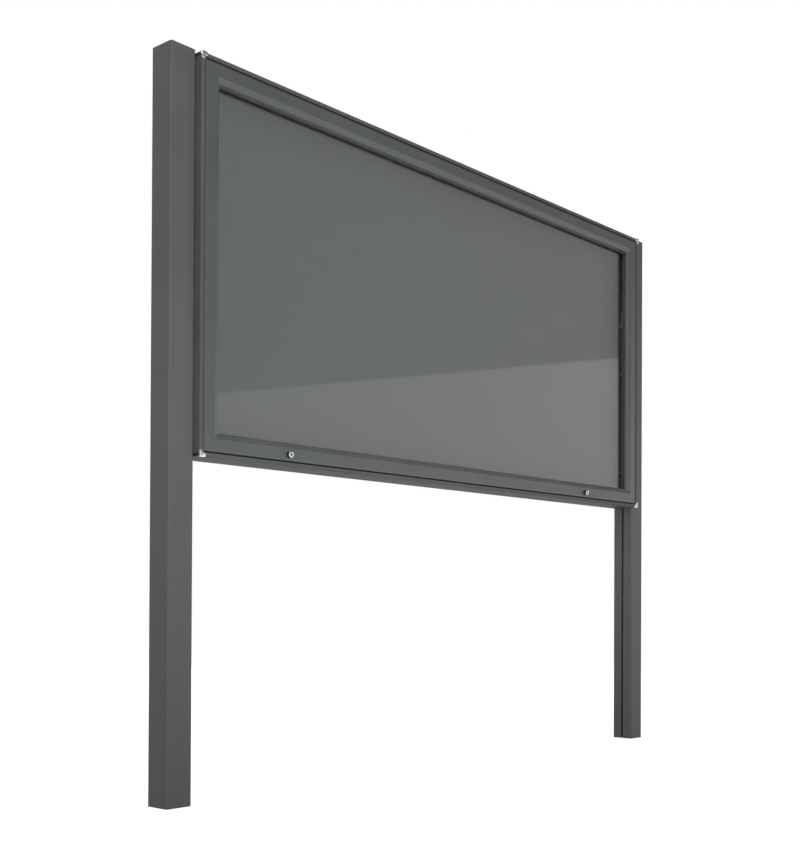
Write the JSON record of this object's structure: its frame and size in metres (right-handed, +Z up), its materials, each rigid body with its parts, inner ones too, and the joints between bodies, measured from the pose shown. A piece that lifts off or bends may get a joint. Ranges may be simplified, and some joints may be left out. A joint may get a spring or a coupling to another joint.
{
  "type": "lockable outdoor notice board",
  "caption": "Lockable glazed notice board with a shallow metal case between two square posts; the front opens upwards on a top hinge with gas struts.",
  "frame": {"origin": "bottom centre of the whole object's box, at the level of the posts' feet", "axes": "+X along the board to the right of someone who reads it, +Y into the board (the front faces -Y), +Z up"},
  "size_m": [2.34, 0.117, 1.9635],
  "materials": {
    "frame_grey": "satin grey powder coat on extruded aluminium",
    "cap_grey": "satin grey powder coat",
    "bright_metal": "polished",
    "steel": "zinc-plated or stainless, satin",
    "mill_aluminium": "plain extruded",
    "black_rubber": "matt",
    "black_plastic": "matt",
    "strut_black": "satin black",
    "glazing": "clear, faint green",
    "board_face": "matt grey pinning surface",
    "back_sheet": "satin grey powder coat"
  },
  "bodies": {
    "case": {"right_post": "frame_grey", "left_post": "frame_grey", "post_caps": "cap_grey", "spigot_screws": "steel", "case_top_rail": "frame_grey", "case_bottom_rail": "frame_grey", "case_left_wall": "frame_grey", "case_right_wall": "frame_grey", "door_stops": "frame_grey", "panel_stops": "frame_grey", "joint_packings": "black_plastic", "corner_piece_bottom_left": "bright_metal", "corner_piece_bottom_right": "bright_metal", "corner_piece_top_left": "bright_metal", "corner_piece_top_right": "bright_metal", "corner_piece_screws": "steel", "rail_end_plugs": "black_plastic", "corner_keys": "mill_aluminium", "corner_screws": "steel", "hinge_rail": "mill_aluminium", "hinge_screws": "steel", "display_board": "board_face", "board_stiffeners": "mill_aluminium", "back_panel": "back_sheet", "door_seal": "black_rubber", "lock_strikers": "steel", "post_bolts": "steel", "upright_bars": "mill_aluminium", "nut_strips": "mill_aluminium", "left_strut_case_bracket": "steel", "right_strut_case_bracket": "steel"},
    "door": {"door_top_rail": "frame_grey", "door_bottom_rail": "frame_grey", "door_left_stile": "frame_grey", "door_right_stile": "frame_grey", "door_corner_cleats": "mill_aluminium", "hinge_end_plugs": "black_plastic", "glass_pane": "glazing", "glazing_gasket": "black_rubber", "glazing_beads": "mill_aluminium", "left_strut_door_bracket": "steel", "right_strut_door_bracket": "steel", "left_lock_housing": "bright_metal", "right_lock_housing": "bright_metal", "left_lock_nut": "steel", "right_lock_nut": "steel"},
    "left_lock_turn": {"left_lock_plug": "bright_metal", "left_lock_cam": "steel", "left_cam_screw": "steel"},
    "left_strut_cylinder": {"left_strut_case_end": "steel", "left_strut_tube": "strut_black"},
    "left_strut_piston_rod": {"left_strut_rod": "bright_metal", "left_strut_door_end": "steel"},
    "right_lock_turn": {"right_lock_plug": "bright_metal", "right_lock_cam": "steel", "right_cam_screw": "steel"},
    "right_strut_cylinder": {"right_strut_case_end": "steel", "right_strut_tube": "strut_black"},
    "right_strut_piston_rod": {"right_strut_rod": "bright_metal", "right_strut_door_end": "steel"}
  },
  "joints": [
    {"name": "door_hinge", "type": "hinge", "parent": "case", "child": "door", "pos_m": [0, -0.0395, 1.934], "axis": [-1, 0, 0], "range_deg": [0, 75]},
    {"name": "left_lock_turn", "type": "hinge", "parent": "door", "child": "left_lock_turn", "pos_m": [-0.775, -0.0465, 0.937], "axis": [0, 1, 0], "range_deg": [0, 90]},
    {"name": "right_lock_turn", "type": "hinge", "parent": "door", "child": "right_lock_turn", "pos_m": [0.72, -0.0465, 0.937], "axis": [0, 1, 0], "range_deg": [0, 90]},
    {"name": "left_strut_pivot", "type": "hinge", "parent": "case", "child": "left_strut_cylinder", "pos_m": [-1.044, 0.0025, 1.906], "axis": [-1, 0, 0], "range_deg": [0, 74.2]},
    {"name": "left_strut_stroke", "type": "slide", "parent": "left_strut_cylinder", "child": "left_strut_piston_rod", "axis": [0, -0.0137, -0.9999], "range_m": [0, 0.0613]},
    {"name": "right_strut_pivot", "type": "hinge", "parent": "case", "child": "right_strut_cylinder", "pos_m": [1.044, 0.0025, 1.906], "axis": [-1, 0, 0], "range_deg": [0, 74.2]},
    {"name": "right_strut_stroke", "type": "slide", "parent": "right_strut_cylinder", "child": "right_strut_piston_rod", "axis": [0, -0.0137, -0.9999], "range_m": [0, 0.0613]}
  ],
  "couplings": [
    {"joint": "left_strut_pivot", "follows": "door_hinge", "ratio": 0.98935},
    {"joint": "left_strut_stroke", "follows": "door_hinge", "m_per_rad": 0.046826},
    {"joint": "right_strut_pivot", "follows": "door_hinge", "ratio": 0.98935},
    {"joint": "right_strut_stroke", "follows": "door_hinge", "m_per_rad": 0.046826}
  ]
}
